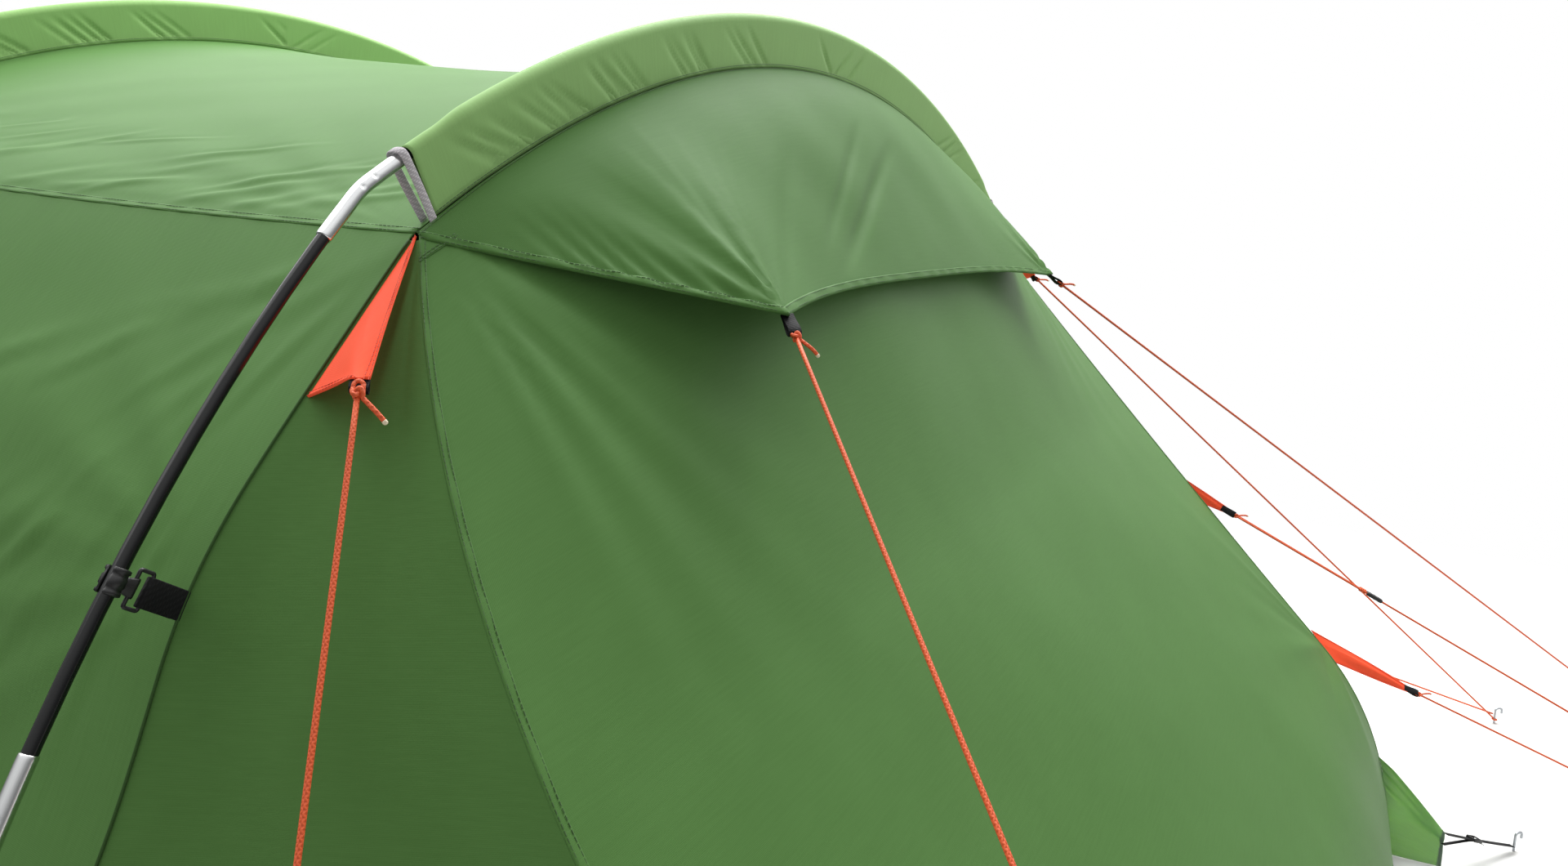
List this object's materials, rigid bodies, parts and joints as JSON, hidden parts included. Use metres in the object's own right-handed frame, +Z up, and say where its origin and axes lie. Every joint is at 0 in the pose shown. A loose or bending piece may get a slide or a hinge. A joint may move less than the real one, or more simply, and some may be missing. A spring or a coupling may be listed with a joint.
{
  "type": "tunnel tent",
  "caption": "Family tunnel tent on two curved pole arches, with vent hood, sloping rear wall, zipped door, guy lines with a runner and ground pegs.",
  "frame": {"origin": "on the ground under the middle of the rear arch", "axes": "+X across the tent, +Y from the rear wall towards the door, +Z up"},
  "size_m": [4.3346, 4.2965, 1.9591],
  "materials": {
    "glass_fibre_rod": "pulled glass fibre, black, slightly glossy",
    "aluminium_ferrule": "drawn tube, bright",
    "elastic_cord": "braided elastic",
    "zinc_steel": "zinc plated",
    "sleeve_fabric": "coated polyester, lighter green",
    "green_fabric": "coated polyester, green",
    "grey_webbing": "woven webbing, grey",
    "floor_fabric": "woven polyethylene sheet, dark grey",
    "zip_coil": "nylon coil, black",
    "zip_metal": "die cast, black",
    "black_plastic": "moulded, black",
    "black_webbing": "woven webbing, black",
    "orange_fabric": "coated polyester, orange",
    "orange_cord": "braided cord, orange"
  },
  "bodies": {
    "tent": {"rear_roof_rods": "glass_fibre_rod", "rear_leg_rods_right": "glass_fibre_rod", "rear_leg_rods_left": "glass_fibre_rod", "rear_ferrules": "aluminium_ferrule", "rear_elbow_right": "aluminium_ferrule", "rear_elbow_left": "aluminium_ferrule", "rear_shock_cord": "elastic_cord", "rear_pole_feet": "zinc_steel", "rear_sleeve": "sleeve_fabric", "rear_sleeve_loops": "grey_webbing", "front_roof_rods": "glass_fibre_rod", "front_leg_rods_right": "glass_fibre_rod", "front_leg_rods_left": "glass_fibre_rod", "front_ferrules": "aluminium_ferrule", "front_elbow_right": "aluminium_ferrule", "front_elbow_left": "aluminium_ferrule", "front_shock_cord": "elastic_cord", "front_pole_feet": "zinc_steel", "front_sleeve": "sleeve_fabric", "front_sleeve_loops": "grey_webbing", "roof_panel": "green_fabric", "side_panel_right": "green_fabric", "side_panel_left": "green_fabric", "rear_wall": "green_fabric", "rear_wing_right": "green_fabric", "rear_wing_left": "green_fabric", "rear_hood": "green_fabric", "front_wall": "green_fabric", "front_header": "green_fabric", "front_wing_right": "green_fabric", "front_wing_left": "green_fabric", "zip_chain_side": "zip_coil", "zip_chain_sill": "zip_coil", "door_toggles": "black_plastic", "groundsheet": "floor_fabric", "pole_clips": "black_plastic", "clip_straps": "black_webbing", "shoulder_patch_right": "orange_fabric", "shoulder_patch_left": "orange_fabric", "upper_corner_patches": "orange_fabric", "lower_corner_patches": "orange_fabric", "hood_guy_left": "orange_cord", "hood_guy_right": "orange_cord", "shoulder_guy_left": "orange_cord", "shoulder_guy_right": "orange_cord", "corner_guy_upper": "orange_cord", "corner_guy_lower": "orange_cord", "guy_tabs": "black_webbing", "guy_knots": "orange_cord", "shoulder_guy_return": "orange_cord", "corner_guy_strand": "orange_cord", "corner_fins": "green_fabric", "corner_straps": "black_webbing", "ground_pegs": "zinc_steel"},
    "door": {"door_panel": "green_fabric"},
    "side_slider": {"zip_slider_side": "zip_metal"},
    "sill_slider": {"zip_slider_sill": "zip_metal"},
    "runner": {"line_runner": "black_plastic"},
    "adjuster_left": {"strap_adjuster_left": "black_plastic"},
    "adjuster_right": {"strap_adjuster_right": "black_plastic"}
  },
  "joints": [
    {"name": "door_hinge", "type": "hinge", "parent": "tent", "child": "door", "pos_m": [-0.453, 1.92254, 0.70873], "axis": [0, -0.5072, 0.8618], "range_deg": [0, 150]},
    {"name": "side_zip_slide", "type": "slide", "parent": "tent", "child": "side_slider", "axis": [0, 0.5072, -0.8618], "range_m": [0, 1.084]},
    {"name": "sill_zip_slide", "type": "slide", "parent": "tent", "child": "sill_slider", "axis": [1, 0, 0], "range_m": [0, 0.584]},
    {"name": "runner_slide", "type": "slide", "parent": "tent", "child": "runner", "axis": [0.1238, -0.8702, -0.477], "range_m": [0, 0.3]},
    {"name": "left_adjuster_slide", "type": "slide", "parent": "tent", "child": "adjuster_left", "axis": [-0.6655, -0.6782, -0.3117], "range_m": [-0.02, 0.04]},
    {"name": "right_adjuster_slide", "type": "slide", "parent": "tent", "child": "adjuster_right", "axis": [0.6655, -0.6782, -0.3117], "range_m": [-0.02, 0.04]}
  ]
}
